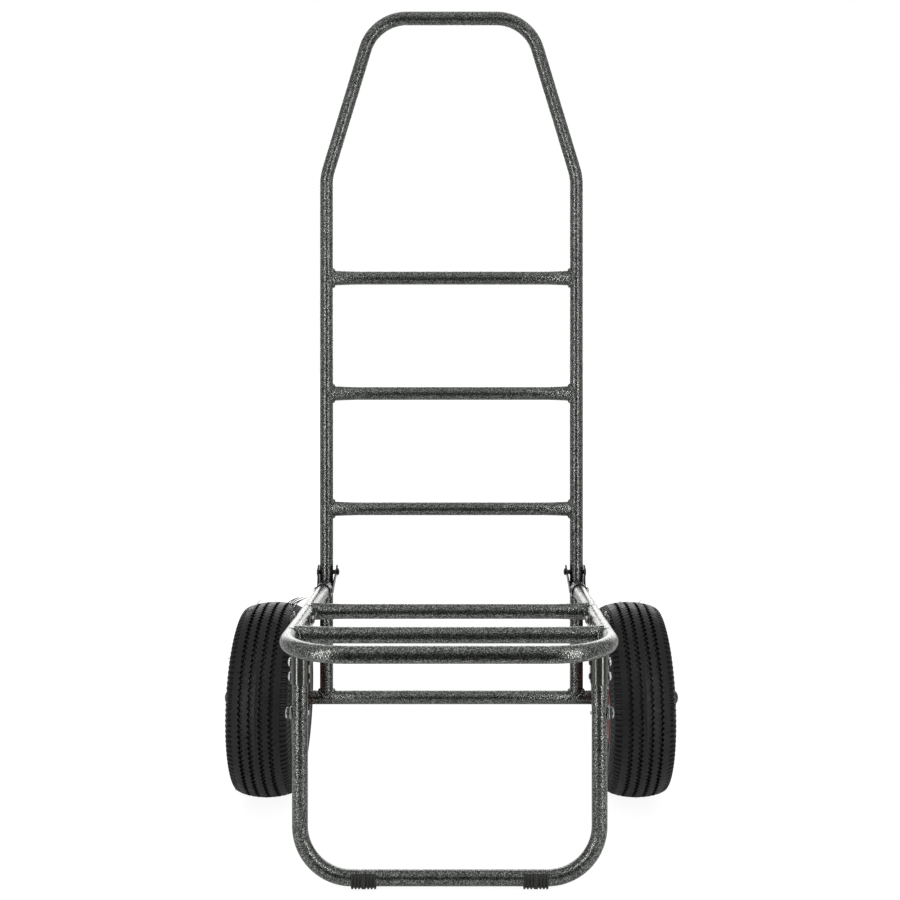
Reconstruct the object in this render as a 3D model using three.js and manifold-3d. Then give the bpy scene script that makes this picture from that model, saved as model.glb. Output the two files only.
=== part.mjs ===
// A two-wheeled game cart: an upright tube frame, a platform that folds up against it,
// a leg that hangs under the platform, and two air-filled wheels on one axle.
// Millimetres, +Z up. Everything is drawn upright, with the axle above y = 0 and the platform
// towards -Y. The cart stands leaning back a little, so the whole drawing is turned at the end.
import * as THREE from 'three';
import { mergeVertices } from 'three/addons/utils/BufferGeometryUtils.js';
import Module from 'manifold-3d';

const wasm = await Module();
wasm.setup();

// ---------------------------------------------------------------- driving dimensions

const TUBE = 11.6;                    // outer radius of every frame tube, with its thick paint
const WALL = 1.6;                     // its wall
const FIT = 0.3;                      // gap left between pieces that touch
const INCH = 25.4;

const HALF_TRACK = 220;               // centre plane to the upright, platform and leg tubes
const AXLE_HEIGHT = 6.5 * INCH;       // a 13 inch wheel
const TOP_HEIGHT = 1361;              // centre line of the handle bar
const KNEE_HEIGHT = 1082;             // where the uprights start to lean in
const HANDLE_HALF = 135.2;            // where the leaning tubes would meet the handle bar
const BEND = 3 * INCH;                // centre line radius of the handle and leg bends
const KNEE_BEND = 90;
const RUNG_PITCH = 8 * INCH;
const LOWEST_RUNG = 497.3;

const PLATFORM_HEIGHT = 360.4;        // centre line of the platform tubes
const PLATFORM_REACH = 496;           // axle plane to the centre line of the front bar
const PLATFORM_BEND = 3.5 * INCH;
const PLATFORM_TUBE_END = 16;         // the side tubes stop this far in front of the axle plane
const REAR_RUNG = 218;
const FRONT_RUNG = 383;
const HINGE_RISE = 25.7;              // fold pin above the platform tubes
const HINGE_HEIGHT = PLATFORM_HEIGHT + HINGE_RISE;

const LEG_REACH = 308;                // axle plane to the leg tubes
const LEG_PIVOT_BACK = 24.5;          // leg pin behind the leg tubes
const LEG_PIVOT_REACH = LEG_REACH - LEG_PIVOT_BACK;
const LEG_BAR_HEIGHT = -12.7;         // centre line of the bar that stands on the ground
const LEG_TOP = PLATFORM_HEIGHT - TUBE - 2 * FIT;
const FOOT_CENTRE = 126;
const FOOT_LENGTH = 38;
const FOOT_RADIUS = 13.8;
const FOOT_SAG = 1.8;                 // a foot's round lies this far below the bar's centre
const FOOT_FLAT = 0.6;                // depth of the flat face under each foot
const FOOT_WRAP = 8;                  // a foot's two lips end this far above the bar's centre

const PLATE = 2;                      // sheet of the folding brackets
const CHANNEL = TUBE + FIT;           // inner half width of a bracket
const BRACKET = CHANNEL + PLATE;      // outer half width
const EAR = 13;                       // radius of the ear round a fold pin
const SADDLE_END = 53;                // front edge of the hinge saddle
const SADDLE_START = 22;              // its rear edge
const SADDLE_DEPTH = 9;               // its cheeks reach this far below the tube's centre
const SLEEVE_END = 273;               // lower edge of the leg sleeve

const PIN = 4;                        // shank radius of the fold bolts
const PIN_HEAD = [7.5, 4];            // radius and height of their heads
const NUT_HEIGHT = 6;
const NUT_FLATS = 13;
const SMALL_PIN = 3;                  // shank radius of the sleeve and saddle bolts
const SMALL_HEAD = [6.3, 3.2];
const SMALL_TAIL = 4;                 // how far they stand out of a bracket's inner face
const LOCK_PIN = 3.2;                 // shank radius of the leg lock pins
const LOCK_PIN_HEIGHT = 229.5;
const LOCK_PIN_TIP = 2.5;             // how far a lock pin stands out of the tube's inner side

const WHEEL_CENTRE = 315;             // centre plane of a tyre
const TYRE_HALF = 55;
const AXLE = 8;                       // radius of the axle rod
const AXLE_TUBE = 12;
const AXLE_TUBE_WALL = 2.4;
const AXLE_TUBE_HALF = 272;
const AXLE_HALF = 396;
const HUB = 20.2;
const HUB_IN = -38;                   // hub ends, measured from the tyre's centre plane
const HUB_OUT = 62;
const BEARING = 17.2;
const BEARING_WIDTH = 11;
const RIM_BOLTS = 4;
const RIM_BOLT_CIRCLE = 42;
const RIM_BOLT = 3;
const RIM_BOLT_FLATS = 10;
const INNER_WASHER = 15;
const OUTER_WASHER = 17;
const CAP_SKIRT = 13;
const CAP_DOME = 9;                   // height of an axle cap's dome
const CAP_END = 399;

const AROUND = 14;                    // sides of a round tube
const BORE_SIDES = 10;                // sides of its bore
const BEND_STEPS = 5;                 // steps in a right-angle bend
const WHEEL_STEPS = 24;
const SMALL_STEPS = 10;               // sides of bolts, washers and other small round pieces
const FOOT_STEPS = 28;
const HUB_STEPS = 20;
const HOLE_SIDES = 8;
const ROUND_CORNER = 4;               // steps in a rounded plate corner

// ---------------------------------------------------------------- materials

const paint = (color, roughness, metalness) =>
  new THREE.MeshStandardMaterial({ color, roughness, metalness });

const hammered = paint(0x4d524c, 0.45, 0.55);
const darkPlate = paint(0x3a3f3b, 0.5, 0.5);
const tyreRubber = paint(0x1b1b1d, 0.85, 0);
const footRubber = paint(0x151515, 0.8, 0);
const rimRed = paint(0x9c1c1a, 0.35, 0.3);
const zinc = paint(0xc4c6c8, 0.3, 0.9);
const blackPlastic = paint(0x161616, 0.5, 0);

// ---------------------------------------------------------------- shape tools

/** Merges a geometry's shared vertices and turns its faces outward. */
function closed(geometry) {
  const bare = geometry.clone();
  bare.deleteAttribute('normal');
  bare.deleteAttribute('uv');
  const merged = mergeVertices(bare, 1e-3);
  const p = merged.attributes.position;
  const kept = [];
  let volume = 0;
  const corner = [0, 1, 2].map(() => new THREE.Vector3());
  for (let i = 0; i < merged.index.count; i += 3) {
    const t = [0, 1, 2].map((k) => merged.index.getX(i + k));
    if (t[0] === t[1] || t[1] === t[2] || t[0] === t[2]) continue;
    t.forEach((v, k) => corner[k].fromBufferAttribute(p, v));
    volume += corner[0].dot(corner[1].clone().cross(corner[2]));
    kept.push(t);
  }
  if (volume < 0) kept.forEach((t) => t.reverse());
  merged.setIndex(kept.flat());
  return merged;
}

/** A manifold solid of a closed geometry. */
function solid(geometry) {
  const g = closed(geometry);
  const vertProperties = Float32Array.from(g.attributes.position.array);
  const triVerts = Uint32Array.from(g.index.array);
  return new wasm.Manifold(new wasm.Mesh({ numProp: 3, vertProperties, triVerts }));
}

/** The geometry of a manifold solid. */
function shapeOf(manifold) {
  const mesh = manifold.getMesh();
  const g = new THREE.BufferGeometry();
  g.setAttribute('position', new THREE.BufferAttribute(Float32Array.from(mesh.vertProperties), 3));
  g.setIndex([...mesh.triVerts]);
  return g;
}

/** A body less one or more cutters. */
function cut(body, ...cutters) {
  let rest = solid(body);
  for (const c of cutters) rest = rest.subtract(solid(c));
  return shapeOf(rest);
}

/** Several overlapping bodies as one. */
function join(first, ...others) {
  let all = solid(first);
  for (const o of others) all = all.add(solid(o));
  return shapeOf(all);
}

/** A round outline, with a round hole if it has an inner radius. */
function ring(outer, inner = 0) {
  const circle = (r, sides) => Array.from({ length: sides }, (_, i) => {
    const a = ((i + 0.5) / sides) * 2 * Math.PI;
    return new THREE.Vector2(r * Math.cos(a), r * Math.sin(a));
  });
  const shape = new THREE.Shape(circle(outer, AROUND));
  if (inner > 0) shape.holes.push(new THREE.Path(circle(inner, BORE_SIDES)));
  return shape;
}

/** A straight or bent centre line: corner points, each with a bend radius, and a step at every
 *  bend station only, so that straight runs stay one face long. */
class BentLine extends THREE.Curve {
  constructor(corners, extra = []) {
    super();
    this.stations = [];
    corners.forEach((c, i) => {
      const here = new THREE.Vector3(...c.at);
      if (i === 0 || i === corners.length - 1) {
        const other = new THREE.Vector3(...corners[i === 0 ? 1 : i - 1].at);
        const along = i === 0 ? other.clone().sub(here) : here.clone().sub(other);
        this.stations.push({ point: here, tangent: along.normalize() });
        return;
      }
      const into = here.clone().sub(new THREE.Vector3(...corners[i - 1].at)).normalize();
      const out = new THREE.Vector3(...corners[i + 1].at).sub(here).normalize();
      const turn = into.angleTo(out);
      const inward = out.clone().sub(into).normalize();
      const centre = here.clone().addScaledVector(inward, c.bend / Math.cos(turn / 2));
      const axis = into.clone().cross(out).normalize();
      const start = here.clone().addScaledVector(into, -c.bend * Math.tan(turn / 2)).sub(centre);
      const steps = Math.max(2, Math.round((BEND_STEPS * turn) / (Math.PI / 2)));
      for (let k = 0; k <= steps; k += 1) {
        const angle = (turn * k) / steps;
        this.stations.push({
          point: start.clone().applyAxisAngle(axis, angle).add(centre),
          tangent: into.clone().applyAxisAngle(axis, angle),
        });
      }
    });
    for (const x of extra) {
      const [a, b] = [this.stations[0], this.stations.at(-1)];
      const point = a.point.clone().lerp(b.point, x);
      this.stations.splice(-1, 0, { point, tangent: a.tangent.clone() });
    }
  }

  get steps() { return this.stations.length - 1; }

  getUtoTmapping(u) { return u; }

  getPoint(t, target = new THREE.Vector3()) {
    return target.copy(this.stations[Math.round(t * this.steps)].point);
  }

  getTangent(t, target = new THREE.Vector3()) {
    return target.copy(this.stations[Math.round(t * this.steps)].tangent);
  }
}

/** A tube, or a rod if it has no inner radius, along a bent line. */
function tubeAlong(line, outer, inner = 0) {
  return new THREE.ExtrudeGeometry(ring(outer, inner), {
    extrudePath: line, steps: line.steps, bevelEnabled: false, curveSegments: 1,
  });
}

/** A straight round bar along X between two stations. */
function barX(from, to, radius, y, z, sides = SMALL_STEPS) {
  const g = new THREE.CylinderGeometry(radius, radius, Math.abs(to - from), sides);
  return g.rotateZ(Math.PI / 2).translate((from + to) / 2, y, z);
}

/** A cutter along X whose flats clear a shank of this radius. */
function holeX(from, to, shank, y, z) {
  return barX(from, to, (shank + FIT) / Math.cos(Math.PI / HOLE_SIDES), y, z, HOLE_SIDES);
}

/** A cutter for a bolt at this reach and height on both sides of the cart. */
const boreX = (reach, height, shank) =>
  holeX(-2 * HALF_TRACK, 2 * HALF_TRACK, shank, -reach, height);

/** A solid turned about the X axis from [radius, x] points. */
function turned(points, steps = SMALL_STEPS) {
  const profile = points.map(([radius, x]) => new THREE.Vector2(radius, x));
  return new THREE.LatheGeometry(profile, steps).rotateZ(-Math.PI / 2);
}

/** A plate whose outline is drawn in (y, z), between two x stations. */
function plateX(outline, from, to) {
  const g = new THREE.ExtrudeGeometry(outline, {
    depth: to - from, bevelEnabled: false, curveSegments: ROUND_CORNER,
  });
  // The outline's first axis becomes Y, its second Z, and its depth X.
  const basis = new THREE.Matrix4().makeBasis(
    new THREE.Vector3(0, 1, 0), new THREE.Vector3(0, 0, 1), new THREE.Vector3(1, 0, 0),
  );
  return g.applyMatrix4(basis).translate(from, 0, 0);
}

/** A hexagonal prism along X. */
function hexX(from, to, acrossFlats, y, z) {
  return barX(from, to, acrossFlats / Math.sqrt(3), y, z, 6);
}

const cart = new THREE.Group();

/** Adds one named piece, and gives back its mesh. */
function piece(name, geometry, material, home = cart) {
  const mesh = new THREE.Mesh(closed(geometry), material);
  mesh.name = name;
  home.add(mesh);
  return mesh;
}

const SIDES = [['left', -1], ['right', 1]];

// ---------------------------------------------------------------- upright frame

const frameLine = new BentLine([
  { at: [-HALF_TRACK, 0, AXLE_HEIGHT] },
  { at: [-HALF_TRACK, 0, KNEE_HEIGHT], bend: KNEE_BEND },
  { at: [-HANDLE_HALF, 0, TOP_HEIGHT], bend: BEND },
  { at: [HANDLE_HALF, 0, TOP_HEIGHT], bend: BEND },
  { at: [HALF_TRACK, 0, KNEE_HEIGHT], bend: KNEE_BEND },
  { at: [HALF_TRACK, 0, AXLE_HEIGHT] },
]);

piece('main_tube', cut(
  tubeAlong(frameLine, TUBE, TUBE - WALL),
  barX(-AXLE_HALF, AXLE_HALF, AXLE_TUBE + FIT, 0, AXLE_HEIGHT, AROUND),
  boreX(0, HINGE_HEIGHT, PIN),
), hammered);

const OVAL_LENGTH = 55;               // a rung's ends are pressed oval over this length
const OVAL = 0.17;                    // share by which an end gets taller and narrower
const COPED_TUBE = 80;                // length of side tube that a rung's end is coped round

/** A cross tube whose ends are pressed into an upright oval and coped round the side tubes. */
function rung(y, z) {
  const reach = HALF_TRACK - TUBE / 2;
  const oval = [0.5, 1].map((s) => (s * OVAL_LENGTH) / (2 * reach));
  const marks = [...oval, ...oval.map((s) => 1 - s).reverse()];
  const line = new BentLine([{ at: [-reach, 0, 0] }, { at: [reach, 0, 0] }], marks);
  const g = tubeAlong(line, TUBE, TUBE - WALL);
  const p = g.attributes.position;
  for (let i = 0; i < p.count; i += 1) {
    const fromEnd = reach - Math.abs(p.getX(i));
    const press = OVAL * Math.max(0, 1 - fromEnd / OVAL_LENGTH) ** 1.5;
    p.setY(i, p.getY(i) * (1 - press));
    p.setZ(i, p.getZ(i) * (1 + press));
  }
  g.translate(0, y, z);
  // An upright stands along Z. A platform tube lies along Y, as CylinderGeometry does.
  const turn = y === 0 ? Math.PI / 2 : 0;
  const sideTube = (x) =>
    new THREE.CylinderGeometry(TUBE + FIT, TUBE + FIT, COPED_TUBE, AROUND)
      .rotateX(turn).translate(x, y, z);
  return cut(g, sideTube(-HALF_TRACK), sideTube(HALF_TRACK));
}

['lower', 'middle', 'upper'].forEach((name, i) => {
  piece(`${name}_rung`, rung(0, LOWEST_RUNG + i * RUNG_PITCH), hammered);
});

// ---------------------------------------------------------------- axle

const axle = new THREE.Group();
axle.position.set(0, 0, AXLE_HEIGHT);
cart.add(axle);

const axleTube = [
  [AXLE_TUBE, -AXLE_TUBE_HALF], [AXLE_TUBE, AXLE_TUBE_HALF],
  [AXLE_TUBE - AXLE_TUBE_WALL, AXLE_TUBE_HALF], [AXLE_TUBE - AXLE_TUBE_WALL, -AXLE_TUBE_HALF],
];
piece('axle_tube', turned([...axleTube, axleTube[0]], AROUND), hammered, axle);
piece('axle_rod', turned([
  [0, -AXLE_HALF], [AXLE - 1, -AXLE_HALF], [AXLE, -AXLE_HALF + 1],
  [AXLE, AXLE_HALF - 1], [AXLE - 1, AXLE_HALF], [0, AXLE_HALF],
], AROUND), zinc, axle);

/** A flat washer on the axle between two x stations. */
function washer(from, to, outer) {
  const inner = AXLE + FIT;
  return turned([[inner, from], [outer, from], [outer, to], [inner, to], [inner, from]], AROUND);
}

/** A pressed cap that closes the axle's end and keeps the wheel on. */
function axleCap(from, to) {
  const bore = AXLE + FIT;
  const dome = to - CAP_DOME;
  return turned([
    [bore, from], [CAP_SKIRT, from], [CAP_SKIRT, dome],
    [CAP_SKIRT - 2, dome + CAP_DOME / 2], [CAP_SKIRT - 6, to - 1],
    [0, to], [0, AXLE_HALF + FIT], [bore, AXLE_HALF + FIT], [bore, from],
  ], AROUND);
}

const mirrored = (geometry, side) => (side < 0 ? geometry.scale(-1, 1, 1) : geometry);

for (const [name, side] of SIDES) {
  const hubIn = WHEEL_CENTRE + HUB_IN;
  const hubOut = WHEEL_CENTRE + HUB_OUT;
  const inner = washer(AXLE_TUBE_HALF + FIT, hubIn - FIT, INNER_WASHER);
  const outer = washer(hubOut + FIT, hubOut + 3, OUTER_WASHER);
  piece(`inner_washer_${name}`, mirrored(inner, side), zinc, axle);
  piece(`outer_washer_${name}`, mirrored(outer, side), zinc, axle);
  piece(`axle_cap_${name}`, mirrored(axleCap(hubOut + 3.4, CAP_END), side), blackPlastic, axle);
}

// ---------------------------------------------------------------- wheels

const TYRE_CROWN = AXLE_HEIGHT;
const HALF_TYRE = [
  [TYRE_CROWN, 20], [TYRE_CROWN - 6, 42], [TYRE_CROWN - 18, 50],
  [122, TYRE_HALF], [100, 51.5], [87.5, 43.6], [79.2, 41.4],
];
const HALF_TUBE_SPACE = [[79.2, 35.5], [100, 43.5], [122, 46.5], [TYRE_CROWN - 14, 34]];

/** The tyre: an open-bottomed ring of rubber. */
function tyre() {
  const flip = ([r, x]) => [r, -x];
  const outside = [...HALF_TYRE.map(flip).reverse(), ...HALF_TYRE];
  const inside = [...HALF_TUBE_SPACE, ...HALF_TUBE_SPACE.map(flip).reverse()];
  return turned([...outside, ...inside, outside[0]], WHEEL_STEPS);
}

/** One pressed half of the rim, on the +X side of the wheel's centre plane. */
function rimHalf() {
  const bore = HUB + FIT;
  return turned([
    [bore, 0.2], [62, 0.2], [70, 8], [70, 30], [77.6, 38], [78, 41.6], [86, 44.2],
    [85.4, 46.6], [75.6, 44], [67.6, 32], [67.6, 9], [61, 2.8], [bore, 2.8], [bore, 0.2],
  ], WHEEL_STEPS);
}

/** A bolt with its nut drawn up on it, along X through the rim's middle. */
function rimBolt(y, z) {
  return join(
    barX(-9, 4, RIM_BOLT, y, z),
    hexX(3.1, 7.6, RIM_BOLT_FLATS, y, z),
    hexX(-8, -3.1, RIM_BOLT_FLATS, y, z),
  );
}

const VALVE_AT = 20;
const valveLine = (from, to, radius) => new THREE.CylinderGeometry(radius, radius, to - from, 12)
  .rotateX(Math.PI / 2).translate(VALVE_AT, 0, -(from + to) / 2);

for (const [name, side] of SIDES) {
  const wheel = new THREE.Group();
  wheel.position.set(side * WHEEL_CENTRE, 0, AXLE_HEIGHT);
  cart.add(wheel);
  const add = (part, geometry, material) =>
    piece(`${part}_${name}`, mirrored(geometry, side), material, wheel);

  const bolts = Array.from({ length: RIM_BOLTS }, (_, i) => {
    const a = ((i + 0.5) / RIM_BOLTS) * 2 * Math.PI;
    return [RIM_BOLT_CIRCLE * Math.cos(a), RIM_BOLT_CIRCLE * Math.sin(a)];
  });
  const boltHoles = bolts.map(([y, z]) => holeX(-12, 12, RIM_BOLT, y, z));
  add('tyre', tyre(), tyreRubber);
  add('rim_outer', cut(rimHalf(), ...boltHoles, valveLine(60, 76, 4.3)), rimRed);
  add('rim_inner', cut(rimHalf().scale(-1, 1, 1), ...boltHoles), rimRed);
  bolts.forEach(([y, z], i) => add(`rim_bolt_${i + 1}`, rimBolt(y, z), zinc));
  add('valve', valveLine(46, 78, 4), blackPlastic);

  const seat = BEARING + FIT;
  const bore = AXLE + 1.5;
  const depth = BEARING_WIDTH + FIT;
  add('hub', turned([
    [HUB, HUB_IN], [HUB, HUB_OUT], [seat, HUB_OUT], [seat, HUB_OUT - depth],
    [bore, HUB_OUT - depth], [bore, HUB_IN + depth], [seat, HUB_IN + depth], [seat, HUB_IN],
    [HUB, HUB_IN],
  ], HUB_STEPS), zinc);
  add('bearing_inner', washer(HUB_IN, HUB_IN + BEARING_WIDTH, BEARING), zinc);
  add('bearing_outer', washer(HUB_OUT - BEARING_WIDTH, HUB_OUT, BEARING), zinc);
}

// ---------------------------------------------------------------- platform

const platformLine = new BentLine([
  { at: [-HALF_TRACK, -PLATFORM_TUBE_END, PLATFORM_HEIGHT] },
  { at: [-HALF_TRACK, -PLATFORM_REACH, PLATFORM_HEIGHT], bend: PLATFORM_BEND },
  { at: [HALF_TRACK, -PLATFORM_REACH, PLATFORM_HEIGHT], bend: PLATFORM_BEND },
  { at: [HALF_TRACK, -PLATFORM_TUBE_END, PLATFORM_HEIGHT] },
]);
const SADDLE_BOLT_REACH = 38;

piece('platform_tube', cut(
  tubeAlong(platformLine, TUBE, TUBE - WALL),
  boreX(LEG_PIVOT_REACH, PLATFORM_HEIGHT, PIN),
  boreX(SADDLE_BOLT_REACH, PLATFORM_HEIGHT, SMALL_PIN),
), hammered);
piece('platform_rung_rear', rung(-REAR_RUNG, PLATFORM_HEIGHT), hammered);
piece('platform_rung_front', rung(-FRONT_RUNG, PLATFORM_HEIGHT), hammered);

/** Half of a round channel that wraps a tube, its back to +v, drawn across the tube. */
function halfChannel() {
  const s = new THREE.Shape();
  s.moveTo(BRACKET, -1);
  s.lineTo(BRACKET, 0);
  s.absarc(0, 0, BRACKET, 0, Math.PI, false);
  s.lineTo(-BRACKET, -1);
  s.lineTo(-CHANNEL, -1);
  s.lineTo(-CHANNEL, 0);
  s.absarc(0, 0, CHANNEL, Math.PI, 0, true);
  s.lineTo(CHANNEL, -1);
  s.closePath();
  return s;
}

/** Two cheeks of one outline, either side of a tube at this x. */
function cheeks(outline, x) {
  return [
    plateX(outline, x - BRACKET, x - CHANNEL),
    plateX(outline, x + CHANNEL, x + BRACKET),
  ];
}

/** The saddle bracket on a platform tube's end. Its ears rise to the fold bolt. */
function hingeBracket(x) {
  const low = PLATFORM_HEIGHT - SADDLE_DEPTH;
  const s = new THREE.Shape();
  s.moveTo(-SADDLE_END + 4, low);
  s.lineTo(-10, low);
  s.quadraticCurveTo(2, low + 2, EAR, HINGE_HEIGHT - 4);
  s.absarc(0, HINGE_HEIGHT, EAR, -0.3, Math.PI * 0.9, false);
  s.quadraticCurveTo(-15, PLATFORM_HEIGHT + 12, -28, PLATFORM_HEIGHT + 7);
  s.lineTo(-SADDLE_END, PLATFORM_HEIGHT + 4);
  s.lineTo(-SADDLE_END, low + 4);
  s.closePath();
  const web = new THREE.ExtrudeGeometry(halfChannel(), {
    depth: SADDLE_END - SADDLE_START, bevelEnabled: false, curveSegments: ROUND_CORNER,
  }).rotateX(Math.PI / 2).translate(x, -SADDLE_START, PLATFORM_HEIGHT);
  return cut(
    join(...cheeks(s, x), web),
    boreX(0, HINGE_HEIGHT, PIN), boreX(SADDLE_BOLT_REACH, PLATFORM_HEIGHT, SMALL_PIN),
  );
}

/** A round-headed bolt along X with its shank end at `end`; the head sits outside `face`. */
function domedBolt(face, end, radius, [headRadius, head], y, z) {
  const out = Math.sign(face - end);
  const profile = [
    [0, end * out], [radius, end * out], [radius, face * out], [headRadius, face * out],
    [headRadius * 0.75, face * out + head * 0.75], [0, face * out + head],
  ];
  return mirrored(turned(profile), out).translate(0, y, z);
}

/** A nut with a plain bore, along X. */
function nut(from, to, acrossFlats, bore, y, z) {
  const past = Math.sign(to - from);
  return cut(
    hexX(from, to, acrossFlats, y, z), holeX(from - past, to + past, bore, y, z),
  );
}

const OUTER_FACE = HALF_TRACK + BRACKET + FIT;
const INNER_FACE = HALF_TRACK - BRACKET - FIT;

for (const [name, side] of SIDES) {
  const fold = (reach, height) => ({
    bolt: domedBolt(
      side * OUTER_FACE, side * (INNER_FACE - NUT_HEIGHT - 1), PIN, PIN_HEAD, -reach, height,
    ),
    nut: nut(
      side * (INNER_FACE - NUT_HEIGHT), side * INNER_FACE, NUT_FLATS, PIN, -reach, height,
    ),
  });
  const hinge = fold(0, HINGE_HEIGHT);
  piece(`fold_bolt_${name}`, hinge.bolt, darkPlate);
  piece(`fold_nut_${name}`, hinge.nut, darkPlate);
  piece(`fold_bracket_${name}`, hingeBracket(side * HALF_TRACK), darkPlate);
  piece(`saddle_bolt_${name}`, domedBolt(
    side * OUTER_FACE, side * (INNER_FACE - SMALL_TAIL), SMALL_PIN, SMALL_HEAD,
    -SADDLE_BOLT_REACH, PLATFORM_HEIGHT,
  ), zinc);
  const leg = fold(LEG_PIVOT_REACH, PLATFORM_HEIGHT);
  piece(`leg_bolt_${name}`, leg.bolt, darkPlate);
  piece(`leg_nut_${name}`, leg.nut, zinc);
}

// ---------------------------------------------------------------- leg

const legLine = new BentLine([
  { at: [-HALF_TRACK, -LEG_REACH, LEG_TOP] },
  { at: [-HALF_TRACK, -LEG_REACH, LEG_BAR_HEIGHT], bend: BEND },
  { at: [HALF_TRACK, -LEG_REACH, LEG_BAR_HEIGHT], bend: BEND },
  { at: [HALF_TRACK, -LEG_REACH, LEG_TOP] },
]);
const SLEEVE_BOLTS = [['upper', 304], ['lower', 283]];

piece('leg_tube', cut(
  tubeAlong(legLine, TUBE, TUBE - WALL),
  ...SLEEVE_BOLTS.map(([, z]) => boreX(LEG_REACH, z, SMALL_PIN)),
  boreX(LEG_REACH, LOCK_PIN_HEIGHT, LOCK_PIN),
), hammered);

/** The sleeve bracket on a leg tube's top. Its cheeks run back and up to the leg bolt. */
function legBracket(x) {
  const ear = -LEG_PIVOT_REACH;
  const front = -LEG_REACH;
  const s = new THREE.Shape();
  // The rear edge keeps close to the leg up to here, so that it clears the rear rung when folded.
  const slim = SLEEVE_END + 38;
  s.moveTo(front - 1, SLEEVE_END);
  s.lineTo(front + 6, SLEEVE_END);
  s.lineTo(front + 7, slim);
  s.quadraticCurveTo(ear + EAR - 4, slim + 6, ear + EAR, PLATFORM_HEIGHT);
  s.absarc(ear, PLATFORM_HEIGHT, EAR, 0, Math.PI * 0.85, false);
  s.lineTo(front - 1, LEG_TOP);
  s.closePath();
  const web = new THREE.ExtrudeGeometry(halfChannel(), {
    depth: LEG_TOP - SLEEVE_END, bevelEnabled: false, curveSegments: ROUND_CORNER,
  }).rotateZ(Math.PI).translate(x, front, SLEEVE_END);
  return cut(
    join(...cheeks(s, x), web),
    boreX(LEG_PIVOT_REACH, PLATFORM_HEIGHT, PIN),
    ...SLEEVE_BOLTS.map(([, z]) => boreX(LEG_REACH, z, SMALL_PIN)),
  );
}

/** The pull pin that locks a leg: a knob outside the tube and a shank through both walls. */
function lockPin(side) {
  const face = HALF_TRACK + TUBE + FIT;
  const tip = HALF_TRACK - TUBE - LOCK_PIN_TIP;
  const profile = [
    [0, tip], [LOCK_PIN - 1, tip], [LOCK_PIN, tip + 1], [LOCK_PIN, face], [8, face],
    [8, face + 4.5], [5.6, face + 6], [5.6, face + 8], [4.6, face + 9.5], [0, face + 9.5],
  ];
  return mirrored(turned(profile, 12), side).translate(0, -LEG_REACH, LOCK_PIN_HEIGHT);
}

// ---------------------------------------------------------------- how the cart stands

// The lean is the slope of the line that touches the wheels and the feet from below. It is
// negative about +X, so the handle goes back and the platform's front edge goes up.
const run = LEG_REACH;
const rise = AXLE_HEIGHT - LEG_BAR_HEIGHT;
const footDrop = FOOT_SAG + FOOT_RADIUS - FOOT_FLAT;
const LEAN = Math.atan2(run, rise) - Math.acos((AXLE_HEIGHT - footDrop) / Math.hypot(run, rise));
const LIFT = AXLE_HEIGHT - AXLE_HEIGHT * Math.cos(LEAN);

/** A rubber clip pushed on the leg's bar: open above, with a flat underside on the ground. */
function foot(side) {
  const half = FOOT_LENGTH / 2;
  const bore = (TUBE + FIT) / Math.cos(Math.PI / FOOT_STEPS);
  const block = () => new THREE.BoxGeometry(2 * FOOT_LENGTH, 4 * FOOT_RADIUS, 2 * FOOT_RADIUS);
  const below = block().translate(0, 0, -footDrop - FOOT_RADIUS).rotateX(-LEAN);
  const above = block().translate(0, 0, FOOT_WRAP + FOOT_RADIUS);
  return cut(
    barX(-half, half, FOOT_RADIUS, 0, -FOOT_SAG, FOOT_STEPS),
    barX(-FOOT_LENGTH, FOOT_LENGTH, bore, 0, 0, FOOT_STEPS),
    below, above,
  ).translate(side * FOOT_CENTRE, -LEG_REACH, LEG_BAR_HEIGHT);
}

for (const [name, side] of SIDES) {
  piece(`leg_bracket_${name}`, legBracket(side * HALF_TRACK), hammered);
  for (const [level, z] of SLEEVE_BOLTS) {
    piece(`sleeve_bolt_${level}_${name}`, domedBolt(
      side * OUTER_FACE, side * (INNER_FACE - SMALL_TAIL), SMALL_PIN, SMALL_HEAD, -LEG_REACH, z,
    ), zinc);
  }
  piece(`lock_pin_${name}`, lockPin(side), zinc);
  piece(`foot_${name}`, foot(side), footRubber);
}

cart.rotation.x = LEAN;
cart.position.z = LIFT;

// The origin is on the ground under the middle of the cart's depth.
const depth = new THREE.Box3().setFromObject(cart, true);
cart.position.y = -(depth.min.y + depth.max.y) / 2;

const part = new THREE.Group();
part.add(cart);
export default part;
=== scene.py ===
"""A folding game cart in Blender 4.5: fine pieces, finishes, light and camera round its CAD frame.

Shapes are drawn in millimetres, upright, with x to the right, y back and z up, the axle above
y = 0 and the wheels' lowest point at z = 0. STAND then leans the drawing back as the cart stands.
"""
import math
import random

import bmesh
import bpy
from mathutils import Matrix, Quaternion, Vector


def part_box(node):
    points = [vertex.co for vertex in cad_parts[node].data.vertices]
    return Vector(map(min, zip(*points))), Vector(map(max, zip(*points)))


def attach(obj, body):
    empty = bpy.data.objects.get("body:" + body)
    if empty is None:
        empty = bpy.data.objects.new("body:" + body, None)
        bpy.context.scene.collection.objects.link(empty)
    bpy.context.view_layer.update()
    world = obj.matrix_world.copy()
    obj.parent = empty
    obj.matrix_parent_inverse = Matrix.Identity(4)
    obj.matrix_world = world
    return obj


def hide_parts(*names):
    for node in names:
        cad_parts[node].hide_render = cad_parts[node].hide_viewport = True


MM = 0.001

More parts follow.
